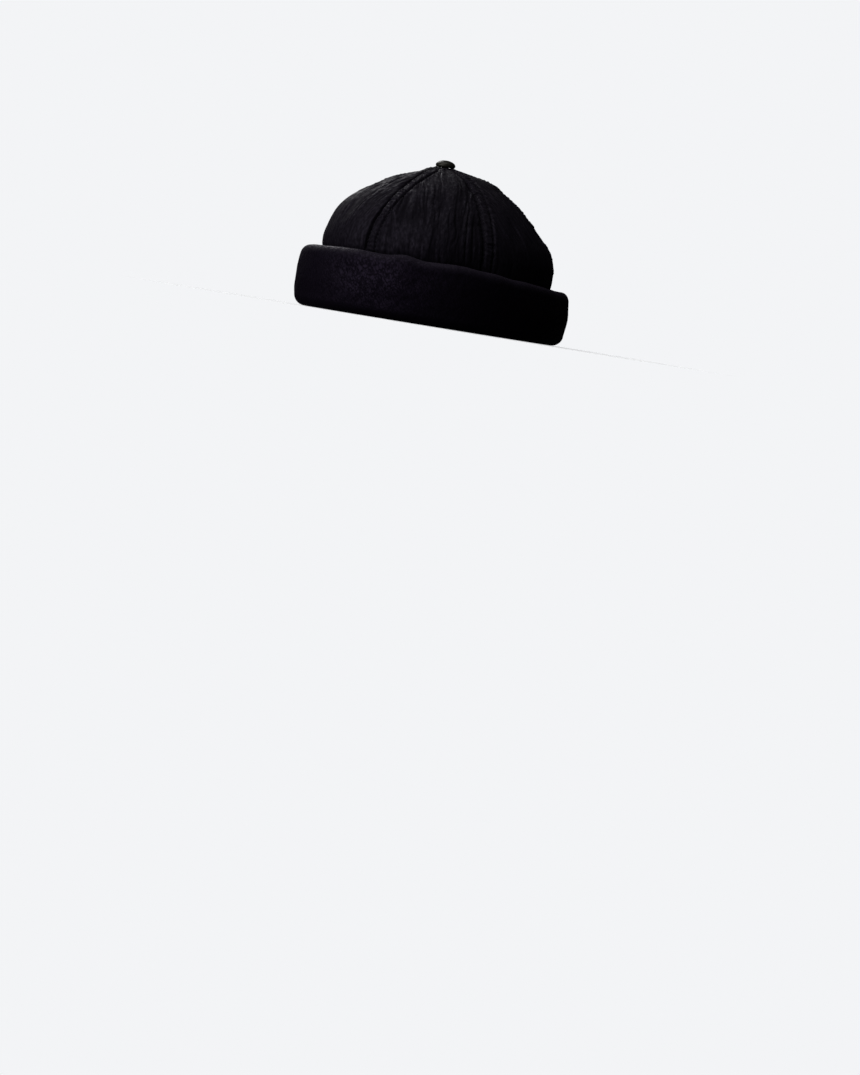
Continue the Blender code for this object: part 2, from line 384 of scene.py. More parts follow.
def value_noise(across, along, seed):
    """Smooth noise from -1 to 1 over a plane, whose lumps are about one unit wide."""
    table = np.random.default_rng(seed).uniform(-1.0, 1.0, (NOISE_CELLS, NOISE_CELLS))
    column = np.floor(across).astype(int)
    row = np.floor(along).astype(int)
    right = blend(across - column)
    up = blend(along - row)
    low = table[row % NOISE_CELLS, column % NOISE_CELLS]
    low_right = table[row % NOISE_CELLS, (column + 1) % NOISE_CELLS]
    high = table[(row + 1) % NOISE_CELLS, column % NOISE_CELLS]
    high_right = table[(row + 1) % NOISE_CELLS, (column + 1) % NOISE_CELLS]
    bottom = low + (low_right - low) * right
    top = high + (high_right - high) * right
    return bottom + (top - bottom) * up


def crinkle_relief(across, along, crinkles, shift):
    """How far the crinkles stand out over the cloth's own plane, and how much painted shade their valleys
    get.
    """
    relief = np.zeros_like(across)
    valleys = np.zeros_like(across)
    for crinkle in crinkles:
        seed = crinkle.seed + CRINKLE_SEED_STEP * shift
        slant = math.radians(crinkle.slant)
        aside = across * math.cos(slant) + along * math.sin(slant)
        onward = along * math.cos(slant) - across * math.sin(slant)
        noise = value_noise(2 * aside / crinkle.across, 2 * onward / crinkle.along, seed)
        pleated = 2.0 * np.abs(noise) ** PLEAT_POWER - 1.0
        shape = noise * (1 - crinkle.pleat) + pleated * crinkle.pleat
        patch_place = PLEAT_PATCH_WIDTH * aside / crinkle.across + PLEAT_PATCH_START
        patch = value_noise(patch_place, onward / crinkle.run, seed + PLEAT_SEED_STEP)
        relief += crinkle.height * shape * (1 + PLEAT_PATCHES * crinkle.pleat * patch)
        # Painted shade along the valleys of the higher crinkles.
        shaded = crinkle.pleat * ease((crinkle.height - VALLEY_FROM) / VALLEY_FROM)
        spread = np.clip(VALLEY_MEAN + VALLEY_RANGE * patch, 0.0, 1.0)
        valleys += shaded * bell(noise, VALLEY_WIDTH) * spread
    return relief, np.clip(valleys, 0.0, 1.0)


def dome_rise(height):
    """How far a height lies up the dome, from 0 at the widest ring to 1 at the apex."""
    return np.clip((height - WIDEST_HEIGHT) / (CROWN_TOP - WIDEST_HEIGHT), 0.0, 1.0)


def seam_share(turn, height):
    """How much of the seams' depth shows at a point: 1 in a seam, 0 in the middle of a gore."""
    across = (turn % GORE_ANGLE) / GORE_ANGLE
    above_hem = ease((height - HEM_HEIGHT) / (WIDEST_HEIGHT - HEM_HEIGHT))
    below_apex = np.sqrt(1.0 - dome_rise(height))
    return above_hem * below_apex * (1.0 - np.sin(np.pi * across) ** GORE_POWER)


def dent_share(turn, height):
    """How much of the seams' depth the broad dents take at a point; they fade out at the apex."""
    total = np.zeros(np.broadcast(turn, height).shape)
    rise = dome_rise(height)
    fade = ease((1.0 - rise) / APEX_EASE)
    for dent in DENTS:
        aside = ((turn - dent.turn + 180) % 360 - 180) / dent.half_turn
        above = (rise - dent.height) / dent.half_height
        near = np.clip(1 - aside ** 2, 0, 1) ** 2 * np.clip(1 - above ** 2, 0, 1) ** 2
        total += fade * dent.depth * near
    return total


def crown_point(turn, height, proud=0.0):
    """Points on the crown's plain outer face, or the given distance outside it."""
    rise = dome_rise(height)
    reach = np.clip(1.0 - rise ** DOME_POWER, 0.0, 1.0) ** (1.0 / DOME_POWER)
    above_hem = np.clip((height - HEM_HEIGHT) / (WIDEST_HEIGHT - HEM_HEIGHT), 0.0, 1.0)
    tuck = HEM_TUCK * (1.0 - above_hem) ** 2
    relief = SEAM_DEPTH * (seam_share(turn, height) + dent_share(turn, height))
    outward = proud - tuck - relief
    angle = np.radians(turn)
    x = (CROWN_WIDTH / 2 * reach + outward) * np.sin(angle) - CROWN_SWAY * rise ** LEAN_POWER
    y = -(CROWN_LENGTH / 2 * reach + outward) * np.cos(angle) - CROWN_LEAN * rise ** LEAN_POWER
    return np.stack(np.broadcast_arrays(x, y, height), axis=-1)


def crown_heights():
    """Heights of the crown's rows, evenly spaced up the cloth above the cuff's edge."""
    eye_reach = EYE_RADIUS / (CROWN_WIDTH / 2)
    last = math.acos(eye_reach ** (DOME_POWER / 2))
    steps = np.linspace(0.0, last, DOME_SAMPLES)
    dome = WIDEST_HEIGHT + (CROWN_TOP - WIDEST_HEIGHT) * np.sin(steps) ** (2 / DOME_POWER)
    wall = np.linspace(SHOWN_FROM, WIDEST_HEIGHT, WALL_SAMPLES)[:-1]
    heights = np.concatenate([wall, dome])
    line = crown_point(np.full_like(heights, GORE_ANGLE / 2), heights)
    length = np.concatenate([[0.0], np.cumsum(np.linalg.norm(np.diff(line, axis=0), axis=1))])
    even = np.interp(np.linspace(0.0, length[-1], SHOWN_ROWS + 1), length, heights)
    hidden = np.linspace(HEM_HEIGHT, SHOWN_FROM, HIDDEN_ROWS + 1)[:-1]
    return np.concatenate([hidden, even])


def grid_normals(points):
    """Unit normals of a grid of points whose rows run to the left and follow each other upwards."""
    along = np.gradient(points, axis=1)
    up = np.gradient(points, axis=0)
    normal = np.cross(along, up)
    return normal / np.maximum(np.linalg.norm(normal, axis=-1, keepdims=True), TINY)


def arc_lengths(points, axis):
    """Distance from the first point along one axis of a grid of points."""
    steps = np.linalg.norm(np.diff(points, axis=axis), axis=-1)
    start = np.zeros_like(np.take(steps, [0], axis=axis))
    return np.concatenate([start, np.cumsum(steps, axis=axis)], axis=axis)


def folded_band(width):
    """How wide the folded band beside a seam is, on a gore of a given width."""
    return np.minimum(BAND_WIDTH, BAND_SHARE * width)


def seam_relief(from_seam, to_seam, up, width, seed):
    """Relief beside the seams: the crease itself, the folded band, its rows of stitches and puckers."""
    band = folded_band(width)
    scale = band / BAND_WIDTH
    nearest = np.minimum(from_seam, to_seam)
    crease = -SEAM_CREASE * bell(nearest, SEAM_CREASE_WIDTH)
    on_band = ease(from_seam / (FIRST_ROW * scale)) * ease((band + ROW_WIDTH - from_seam) / ROW_WIDTH)
    inner_row = INNER_ROW_DEPTH * bell(from_seam - FIRST_ROW * scale, ROW_WIDTH * INNER_ROW_WIDTH)
    rows = bell(from_seam - band, ROW_WIDTH) + inner_row
    edge_swell = EDGE_SHARE * bell(to_seam - EDGE_SWELL_AT, EDGE_SWELL_WIDTH)
    swell = bell(from_seam - band - ROW_SWELL_AT, ROW_SWELL_WIDTH) + edge_swell
    wobble = value_noise(from_seam / WOBBLE_ACROSS, up / WOBBLE_ALONG, seed + WOBBLE_SEED_STEP)
    pucker = value_noise(2 * up / PUCKER_SPACING + wobble, from_seam / PUCKER_WIDTH, seed)
    edge_up = 2 * up / (EDGE_PUCKER_SPACING * PUCKER_SPACING) + wobble
    edge_pucker = value_noise(edge_up, to_seam / PUCKER_WIDTH, seed + EDGE_SEED_STEP)
    near_rows = bell(from_seam - band * PUCKER_MIDDLE, PUCKER_REACH)
    near_edge = bell(to_seam, EDGE_PUCKER_REACH * PUCKER_REACH)
    wave = np.cos(2 * np.pi * up / PUCKER_SPACING + LADDER_WOBBLE * wobble)
    ladder = wave * (LADDER_LEAST + LADDER_RANGE * wobble)
    puckers = PUCKER_HEIGHT * (pucker * near_rows + EDGE_SHARE * edge_pucker * near_edge)
    puckers = puckers + LADDER_HEIGHT * scale * ladder * on_band
    sewn = crease + scale * BAND_RISE * on_band - ROW_DEPTH * rows * scale
    return sewn + SWELL_HEIGHT * swell + puckers


def painted_seam_shade(from_seam, to_seam, width):
    """Painted shade where the cloth is pulled down by a seam or a row of stitches, from 0 to 1."""
    band = folded_band(width)
    seam = bell(np.minimum(from_seam, to_seam), SEAM_SHADE_WIDTH * SEAM_CREASE_WIDTH)
    outer = bell(from_seam - band, ROW_WIDTH)
    inner = INNER_ROW_SHADE * bell(from_seam - FIRST_ROW * band / BAND_WIDTH, INNER_ROW_WIDTH * ROW_WIDTH)
    return np.clip(seam + outer + inner, 0.0, 1.0)


def gore_grid(number):
    """The outer face of a gore with all its relief, and what its panel, painted shade and stitches need."""
    first_turn = (number - 1) * GORE_ANGLE
    heights = crown_heights()[:, None]
    column = np.arange(-1, GORE_COLUMNS + 2)[None, :]
    wide_turns = first_turn + GORE_ANGLE * column / GORE_COLUMNS
    wide = crown_point(wide_turns, heights)
    turns = wide_turns[:, 1:-1]
    plain = wide[:, 1:-1]
    normals = grid_normals(wide)[:, 1:-1]
    across = arc_lengths(plain, 1)
    width = across[:, -1:]
    up = arc_lengths(plain, 0)
    middle_up = np.broadcast_to(up[:, GORE_COLUMNS // 2][:, None], up.shape)
    beside = across - width / 2

    wander = CRINKLE_WANDER * value_noise(beside / WANDER_ACROSS, middle_up / WANDER_UP, WANDER_SEED + number)
    crinkles, valleys = crinkle_relief(beside + wander + CRINKLE_START_ACROSS, middle_up + CRINKLE_START_UP,
                                       CROWN_CRINKLES, number)
    patches = value_noise(beside / PATCH_SIZE, middle_up / PATCH_SIZE, PATCH_SEED + number)
    patchy = PATCH_MEAN + PATCH_RANGE * patches
    calm = 1.0 - BAND_CALM * bell(across - BAND_WIDTH / 2, BAND_WIDTH * BAND_CALM_REACH)
    narrow = ease(width / NARROW_WIDTH)
    gain = LIVELY_GAIN * ease(dome_rise(heights) / LIVELY_RISE)
    lively = GORE_CRINKLES[number - 1] * (LIVELY_LOW + gain)
    relief = crinkles * patchy * calm * lively * (0.5 + 0.5 * narrow)

    from_apex = middle_up[-1:] - middle_up
    gather_up = from_apex / APEX_GATHER_LENGTH + 0.5
    drawn = value_noise(2 * turns / APEX_GATHER_TURN, gather_up, APEX_SEED + number)
    near_apex = bell(from_apex, APEX_GATHER_REACH) * ease(from_apex / APEX_GATHER_START)
    relief = relief * (1 - APEX_CALM * bell(from_apex, APEX_GATHER_REACH))
    relief = relief + APEX_GATHER_HEIGHT * drawn * near_apex
    relief = relief + seam_relief(across, width - across, up, width, SEAM_SEED + number)

    edge, _ = cuff_station(turns % 360)
    above_edge = heights - edge
    gathers = value_noise(2 * beside / GATHER_SPACING, above_edge / GATHER_LENGTH, GATHER_SEED + number)
    relief = relief + GATHER_HEIGHT * gathers * bell(above_edge, GATHER_REACH)
    relief = relief - TUCK_DEPTH * bell(above_edge + TUCK_BELOW, TUCK_REACH)
    relief = relief * ease((above_edge + CREST_HEIGHT) / RELIEF_START)

    fine = plain + normals * relief[..., None]
    plane = np.stack([beside, middle_up], axis=-1)
    # Painted shade in the crinkles' valleys and along the seams and rows of stitches.
    shade = VALLEY_SHADE * valleys * calm * np.minimum(lively, 1.0)
    grooves = np.maximum(painted_seam_shade(across, width - across, width), shade)
    return GoreGrid(fine, plain, plane, normals, across, grooves)


def index_grid(rows, columns, first=0):
    """Indices of a grid of points, counted row by row."""
    return first + np.arange(rows * columns).reshape(rows, columns)


def quads(index):
    """Quads between the neighbours in a grid of indices, facing out where its rows run to the left."""
    corners = (index[:-1, :-1], index[:-1, 1:], index[1:, 1:], index[1:, :-1])
    return np.stack(corners, axis=-1).reshape(-1, 4)


def rim_loop(index):
    """Indices round the edge of a grid, anticlockwise as seen from outside, back to the first."""
    return np.concatenate([index[0, :-1], index[:-1, -1], index[-1, :0:-1], index[::-1, 0]])


def bridge(fine, coarse, step):
    """Triangles between a fine edge loop and a coarse one with a point for every few of its points."""
    faces = []
    for part in range(len(coarse) - 1):
        low = coarse[part]
        high = coarse[part + 1]
        for place in range(step):
            one = fine[part * step + place]
            two = fine[part * step + place + 1]
            faces.append((two, one, low if place < step // 2 else high))
            if place == step // 2 - 1:
                faces.append((two, low, high))
    return faces


def make_piece(name, points, faces, cloth_plane, material, **shares):
    """A new piece of the cap, with its cloth plane in metres as a UV layer.

    Shares are further values from 0 to 1 for each point, for its material to use.
    """
    mesh = bpy.data.meshes.new(name)
    mesh.from_pydata(points.tolist(), [], faces)
    layer = mesh.uv_layers.new(name="cloth")
    corner = np.zeros(len(mesh.loops), dtype=np.int32)
    mesh.loops.foreach_get("vertex_index", corner)
    layer.data.foreach_set("uv", cloth_plane[corner].astype(np.float32).ravel())
    for kind, values in shares.items():
        layer = mesh.attributes.new(kind, "FLOAT", "POINT")
        layer.data.foreach_set("value", values.ravel())
    mesh.shade_smooth()
    mesh.update()
    mesh.materials.append(material)
    piece = bpy.data.objects.new(name, mesh)
    bpy.context.scene.collection.objects.link(piece)
    return piece


def make_gore(number, grid, material):
    """One sewn panel: the crinkled outer face, a smooth inner face and the edges between them."""
    inside = (grid.plain - grid.normals * CLOTH)[::INSIDE_STEP, ::INSIDE_STEP]
    inside_plane = grid.plane[::INSIDE_STEP, ::INSIDE_STEP]
    outer = index_grid(*grid.fine.shape[:2])
    inner = index_grid(*inside.shape[:2], first=outer.size)
    faces = quads(outer).tolist()
    faces += quads(inner)[:, ::-1].tolist()
    faces += bridge(rim_loop(outer), rim_loop(inner), INSIDE_STEP)
    points = np.concatenate([grid.fine.reshape(-1, 3), inside.reshape(-1, 3)])
    cloth_plane = np.concatenate([grid.plane.reshape(-1, 2), inside_plane.reshape(-1, 2)])
    cloth_plane = cloth_plane + np.array([PANEL_PLANE_STEP * number, 0.0])
    # The painted shade of the grooves and crinkle valleys, kept for the crown's material.
    groove = np.concatenate([grid.grooves.ravel(), np.zeros(inner.size)])
    return make_piece(f"crown_panel_{number}", points, faces, cloth_plane, material, groove=groove)


def cuff_station(turns):
    """The cuff's height and padding at each turn, eased between the stations on either side."""
    ring = list(CUFF_STATIONS) + [CUFF_STATIONS[0]._replace(turn=360)]
    height = np.zeros_like(turns)
    padding = np.zeros_like(turns)
    for low, high in zip(ring, ring[1:]):
        inside = (turns >= low.turn) & (turns < high.turn)
        share = ease((turns - low.turn) / (high.turn - low.turn))
        height[inside] = (CUFF_HEIGHT * (low.height + (high.height - low.height) * share))[inside]
        padding[inside] = (CUFF_PADDING * (low.padding + (high.padding - low.padding) * share))[inside]
    return height, padding


def ring_point(turns, outward, height):
    """Points at a distance outside the crown's widest ring."""
    angle = np.radians(turns)
    x = (CROWN_WIDTH / 2 + outward) * np.sin(angle)
    y = -(CROWN_LENGTH / 2 + outward) * np.cos(angle)
    return np.stack(np.broadcast_arrays(x, y, height), axis=-1)


def cuff_rows(turns):
    """The cuff's rows of points round the head, from its fold, out along the foot and over the crest."""
    height, padding = cuff_station(turns)
    crest_base = height - CREST_HEIGHT
    face = GAP + padding
    edge = face - CUFF_BELLY
    fold = -HEM_TUCK - CLOTH
    rows = [ring_point(turns, fold, FOLD)]
    for step in range(FOLD_STEPS + 1):
        angle = math.pi / 2 * step / FOLD_STEPS
        out = fold + FOLD_ROUND * (1 - math.cos(angle))
        rows.append(ring_point(turns, out, FOLD_ROUND * (1 - math.sin(angle))))
    foot_start = edge - FOOT_ROUND
    rows.append(ring_point(turns, (foot_start + fold + FOLD_ROUND) / 2, 0.0))
    for step in range(FOOT_STEPS):
        angle = math.pi / 2 * step / FOOT_STEPS
        out = foot_start + FOOT_ROUND * math.sin(angle)
        rows.append(ring_point(turns, out, FOOT_ROUND * (1 - math.cos(angle))))
    for step in range(FACE_STEPS):
        share = step / FACE_STEPS
        belly = CUFF_BELLY * math.sin(math.pi * share)
        rows.append(ring_point(turns, edge + belly, FOOT_ROUND + (crest_base - FOOT_ROUND) * share))
    for step in range(CREST_STEPS + 1):
        angle = math.pi * step / CREST_STEPS
        level = crest_base + CREST_HEIGHT * math.sin(angle)
        inward = 0.5 - 0.5 * math.cos(angle)
        outer = ring_point(turns, edge, level)
        rows.append(outer + (crown_point(turns, level, GAP) - outer) * inward)
    for step in range(1, INNER_STEPS + 1):
        level = crest_base + (FOLD - crest_base) * step / INNER_STEPS
        rows.append(crown_point(turns, level, GAP))
    return np.array(rows)


def make_cuff(material):
    """The padded band, turned up all round, with soft waves, its join at the back and a painted highlight
    along its crest.
    """
    around = np.linspace(0.0, 1.0, CUFF_COLUMNS + 1)
    plain = cuff_rows((180.0 + 360.0 * around) % 360)
    around = np.broadcast_to(around[None, :], plain.shape[:2])
    face_row = FOLD_STEPS + FOOT_STEPS + 4      # near the lower edge of the upright face
    face_length = np.linalg.norm(np.diff(plain[face_row], axis=0), axis=1).sum()
    along = around * face_length
    up = arc_lengths(plain, 0)
    wrapped = np.concatenate([plain[:, -2:-1], plain, plain[:, 1:2]], axis=1)
    normals = grid_normals(wrapped)[:, 1:-1]

    row = np.arange(len(plain))[:, None]
    first_inner = len(plain) - INNER_STEPS - CREST_STEPS // 3
    above_foot = ease(plain[..., 2] / CUFF_RELIEF_START)
    shown = ease((first_inner - row) / CUFF_RELIEF_END) * above_foot
    away = ease(around / JOIN_CALM) * ease((1 - around) / JOIN_CALM)
    from_join = np.minimum(along, face_length - along)
    join = JOIN_SWELL * bell(from_join - JOIN_SWELL_AT, JOIN_SWELL_WIDTH)
    join = join - JOIN_DEPTH * bell(from_join, JOIN_WIDTH)
    relief, _ = crinkle_relief(along, up, CUFF_CRINKLES, 0)
    fine = plain + normals * ((relief * away + join) * shown)[..., None]

    ring = fine[:, :-1]
    rows, columns = ring.shape[:2]
    index = np.pad(index_grid(rows, columns), ((0, 1), (0, 1)), mode="wrap")
    plane = np.stack([along[:, :-1], up[:, :-1]], axis=-1).reshape(-1, 2)
    # A band of painted highlight along the crest.
    over_crest = (row - (rows - INNER_STEPS - CREST_STEPS - 1)) / CREST_STEPS
    rubbed = np.broadcast_to(bell(over_crest - PAINTED_HIGHLIGHT_AT, PAINTED_HIGHLIGHT_REACH), (rows, columns))
    faces = quads(index).tolist()
    return make_piece("cuff_band", ring.reshape(-1, 3), faces, plane, material, rubbed=rubbed)


def button_profile():
    """Half the button's outline as (radius, height) above its underside, from the shank to the dome."""
    radius = BUTTON_WIDTH / 2
    shank = EYE_RADIUS - SHANK_PLAY
    profile = [(shank * wide, -SHANK_DEPTH * deep) for wide, deep in SHANK_SHAPE]
    profile += [(shank + (radius - BUTTON_EDGE - shank) * share, 0.0) for share in UNDERSIDE_SHARES]
    for step in range(1, BUTTON_EDGE_STEPS + 1):
        angle = math.pi / 2 * step / BUTTON_EDGE_STEPS
        out = radius - BUTTON_EDGE * (1 - math.sin(angle))
        profile.append((out, BUTTON_EDGE * (1 - math.cos(angle))))
    for step in range(1, BUTTON_DOME_STEPS + 1):
        angle = math.pi / 2 * step / BUTTON_DOME_STEPS
        profile.append((radius * math.cos(angle), BUTTON_EDGE + BUTTON_DOME * math.sin(angle)))
    return profile


def make_button(material):
    """The covered button on the apex, with its cloth drawn in under its edge."""
    profile = np.array(button_profile())
    angle = np.linspace(0.0, 2 * np.pi, BUTTON_SIDES, endpoint=False)
    radius = profile[:, :1] * np.ones((1, BUTTON_SIDES))
    level = profile[:, 1:] * np.ones((1, BUTTON_SIDES))
    under = ease((BUTTON_EDGE * BUTTON_GATHER_TOP - level) / BUTTON_EDGE)
    under = under * ease((radius - EYE_RADIUS) / BUTTON_GATHER_START)
    level = level + BUTTON_GATHER_HEIGHT * under * np.cos(BUTTON_GATHERS * angle)[None, :]
    local = np.stack([radius * np.cos(angle), radius * np.sin(angle), level], axis=-1)
    place = np.array((-CROWN_SWAY, -CROWN_LEAN, CROWN_TOP + BUTTON_SEAT))
    turn = np.array(Matrix.Rotation(math.radians(BUTTON_TILT), 3, "X"))
    points = local[1:-1] @ turn.T + place
    rows, columns = points.shape[:2]
    index = np.pad(index_grid(rows, columns), ((0, 0), (0, 1)), mode="wrap")
    faces = quads(index).tolist()
    bottom = rows * columns
    top = bottom + 1
    faces += [(index[0, side + 1], index[0, side], bottom) for side in range(columns)]
    faces += [(index[-1, side], index[-1, side + 1], top) for side in range(columns)]
    poles = np.array([local[0, 0], local[-1, 0]]) @ turn.T + place
    points = np.concatenate([points.reshape(-1, 3), poles])
    return make_piece("button", points, faces, points[:, :2], material)


def stitch_row(grid, distance):
    """Middles, directions and normals of the stitches along one row beside a gore's first seam."""
    band = folded_band(grid.across[:, -1])
    lines = []
    for row in range(HIDDEN_ROWS + STITCH_FREE_BELOW, len(grid.fine) - STITCH_FREE_ABOVE):
        where = distance * band[row] / BAND_WIDTH
        place = [np.interp(where, grid.across[row], grid.fine[row, :, axis]) for axis in range(3)]
        normal = [np.interp(where, grid.across[row], grid.normals[row, :, axis]) for axis in range(3)]
        lines.append(place + normal)
    line = np.array(lines)
    length = arc_lengths(line[:, :3], 0)
    middles = np.arange(STITCH_PITCH, length[-1] - STITCH_PITCH, STITCH_PITCH)
    sample = np.stack([np.interp(middles, length, column) for column in line.T], axis=-1)
    ahead = np.stack([np.interp(middles + STITCH_AHEAD, length, line[:, axis]) for axis in range(3)], axis=-1)
    direction = ahead - sample[:, :3]
    direction /= np.linalg.norm(direction, axis=1, keepdims=True)
    normal = sample[:, 3:] / np.linalg.norm(sample[:, 3:], axis=1, keepdims=True)
    return sample[:, :3] + normal * (STITCH_RADIUS * STITCH_LIFT), direction, normal


def stitch_shape():
    """Points and faces of one short rounded thread that lies along the first axis."""
    angle = np.linspace(0.0, 2 * np.pi, STITCH_SIDES, endpoint=False)
    points = []
    for place, thick in STITCH_RINGS:
        dip = -STITCH_DIP * place ** 4
        for turn in angle:
            points.append((place * STITCH_LENGTH / 2, thick * STITCH_RADIUS * math.cos(turn),
                           dip + thick * STITCH_RADIUS * math.sin(turn)))
    points.append((-STITCH_LENGTH / 2, 0.0, -STITCH_DIP))
    points.append((STITCH_LENGTH / 2, 0.0, -STITCH_DIP))
    faces = []
    for ring in range(len(STITCH_RINGS) - 1):
        low = ring * STITCH_SIDES
        high = low + STITCH_SIDES
        for side in range(STITCH_SIDES):
            after = (side + 1) % STITCH_SIDES
            faces.append((low + side, high + side, high + after, low + after))
    start = len(STITCH_RINGS) * STITCH_SIDES
    last = start - STITCH_SIDES
    for side in range(STITCH_SIDES):
        after = (side + 1) % STITCH_SIDES
        faces.append((start, side, after))
        faces.append((start + 1, last + after, last + side))
    return np.array(points), faces


def make_stitches(grids, material):
    """Every stitch of the crown's seams, joined in one mesh."""
    shape, shape_faces = stitch_shape()
    points = []
    faces = []
    for grid in grids:
        for distance in (FIRST_ROW, BAND_WIDTH):
            middles, direction, normal = stitch_row(grid, distance)
            aside = np.cross(normal, direction)
            for middle, ahead, out, side in zip(middles, direction, normal, aside):
                first = len(points) * len(shape)
                points.append(middle + shape @ np.array([ahead, side, out]))
                faces += [tuple(first + corner for corner in face) for face in shape_faces]
    points = np.concatenate(points)
    return make_piece("seam_stitches", points, faces, points[:, :2], material)


def node(tree, kind, **values):
    """Adds a shader node and sets its properties."""
    made = tree.nodes.new(kind)
    for name, value in values.items():
        setattr(made, name, value)
    return made


def cloth_noise(tree, grain):
    """Noise over the cloth's plane, stretched and turned as the grain says."""
    uv = node(tree, "ShaderNodeUVMap", uv_map="cloth")
    turned = node(tree, "ShaderNodeMapping", vector_type="POINT")
    turned.inputs["Rotation"].default_value = (0.0, 0.0, math.radians(grain.turn))
    sized = node(tree, "ShaderNodeMapping", vector_type="POINT")
    sized.inputs["Scale"].default_value = (1 / grain.across, 1 / grain.along, 1.0)
    noise = node(tree, "ShaderNodeTexNoise", noise_dimensions="2D")
    noise.inputs["Scale"].default_value = 1.0
    noise.inputs["Detail"].default_value = grain.detail
    noise.inputs["Roughness"].default_value = NOISE_ROUGHNESS
    tree.links.new(uv.outputs["UV"], turned.inputs["Vector"])
    tree.links.new(turned.outputs["Vector"], sized.inputs["Vector"])
    tree.links.new(sized.outputs["Vector"], noise.inputs["Vector"])
    return noise.outputs["Fac"]


def maths(tree, operation, *values):
    """A sum or the like of values, each of them a number or another node's output."""
    made = node(tree, "ShaderNodeMath", operation=operation)
    for place, value in enumerate(values):
        if isinstance(value, float):
            made.inputs[place].default_value = value
        else:
            tree.links.new(value, made.inputs[place])
    return made.outputs[0]


def ranged(tree, value, low, high, start=0.0, end=1.0, smooth=False):
    """Maps the range from start to end to the range from low to high."""
    kind = "SMOOTHSTEP" if smooth else "LINEAR"
    made = node(tree, "ShaderNodeMapRange", interpolation_type=kind)
    made.inputs["From Min"].default_value = start
    made.inputs["From Max"].default_value = end
    made.inputs["To Min"].default_value = low
    made.inputs["To Max"].default_value = high
    tree.links.new(value, made.inputs["Value"])
    return made.outputs["Result"]


def span(tree, noise, low, high):
    """Maps a noise's middle range to the range from low to high."""
    return ranged(tree, noise, low, high, *NOISE_MIDDLE, smooth=True)


def crease_lines(tree, grain, width):
    """Thin grooves where a noise crosses its middle value, 0 in the groove and 1 away from it."""
    away = maths(tree, "ABSOLUTE", maths(tree, "SUBTRACT", cloth_noise(tree, grain), 0.5))
    return ranged(tree, away, 0.0, 1.0, end=width, smooth=True)


def rough_creases(tree, creases, broad, roughness, groove):
    """Roughness that varies softly over the cloth and rises in the grooves, where the shine is lost."""
    return maths(tree, "ADD", span(tree, broad, *roughness), ranged(tree, creases, groove, 0.0))


def bumps(tree, *layers):
    """Bumps on top of each other, each of them a height and its depth in metres."""
    normal = None
    for height, distance in layers:
        made = node(tree, "ShaderNodeBump")
        made.inputs["Strength"].default_value = 1.0
        made.inputs["Distance"].default_value = distance
        tree.links.new(height, made.inputs["Height"])
        if normal is not None:
            tree.links.new(normal, made.inputs["Normal"])
        normal = made.outputs["Normal"]
    return normal


def colour_mix(tree, factor, dark, light):
    """A colour between two, by a factor. The dark one may be another node's output."""
    made = node(tree, "ShaderNodeMix", data_type="RGBA")
    if isinstance(dark, tuple):
        made.inputs[MIX_DARK].default_value = (*dark, 1.0)
    else:
        tree.links.new(dark, made.inputs[MIX_DARK])
    made.inputs[MIX_LIGHT].default_value = (*light, 1.0)
    tree.links.new(factor, made.inputs[MIX_FACTOR])
    return made.outputs[MIX_RESULT]


def new_cloth(cloth):
    """A material whose shader has the cloth's constant values."""
    material = bpy.data.materials.new(cloth.name)
    material.use_nodes = True
    tree = material.node_tree
    shader = tree.nodes["Principled BSDF"]
    shader.inputs["Metallic"].default_value = 0.0
    shader.inputs["Sheen Weight"].default_value = cloth.sheen
    shader.inputs["Sheen Roughness"].default_value = cloth.sheen_roughness
    shader.inputs["Sheen Tint"].default_value = (*cloth.tint, 1.0)
    shader.inputs["Specular Tint"].default_value = (*cloth.tint, 1.0)
    shader.inputs["Specular IOR Level"].default_value = cloth.specular
    return material, tree, shader


def crown_material():
    """Thin crinkled nylon with a faint sheen, near black with a violet cast, with painted shade in its seams,
    crinkle valleys and creases.
    """
    material, tree, shader = new_cloth(CROWN_CLOTH)
    lines = crease_lines(tree, CROWN_CREASES, CROWN_CREASE_WIDTH)
    fine = cloth_noise(tree, CROWN_GRAIN)
    weave = cloth_noise(tree, NYLON_WEAVE)
    broad = cloth_noise(tree, CROWN_PATCHES)
    # The groove attribute darkens the colour with painted shade in the seams and crinkle valleys.
    sewn = node(tree, "ShaderNodeAttribute", attribute_name="groove")
    free = ranged(tree, sewn.outputs["Fac"], 1.0, 0.0)
    # Painted shade in the crease lines.
    shown = maths(tree, "MULTIPLY", free, ranged(tree, lines, CROWN_CREASE_SHADE, 1.0))
    creases = maths(tree, "MULTIPLY", shown, span(tree, fine, CROWN_GRAIN_SHADE, 1.0))
    rough = rough_creases(tree, creases, broad, CROWN_ROUGHNESS, CROWN_GROOVE_ROUGHNESS)
    tree.links.new(colour_mix(tree, creases, *CROWN_COLOURS), shader.inputs["Base Color"])
    tree.links.new(rough, shader.inputs["Roughness"])
    normal = bumps(tree, *zip((lines, fine, weave), CROWN_BUMPS))
    tree.links.new(normal, shader.inputs["Normal"])
    return material


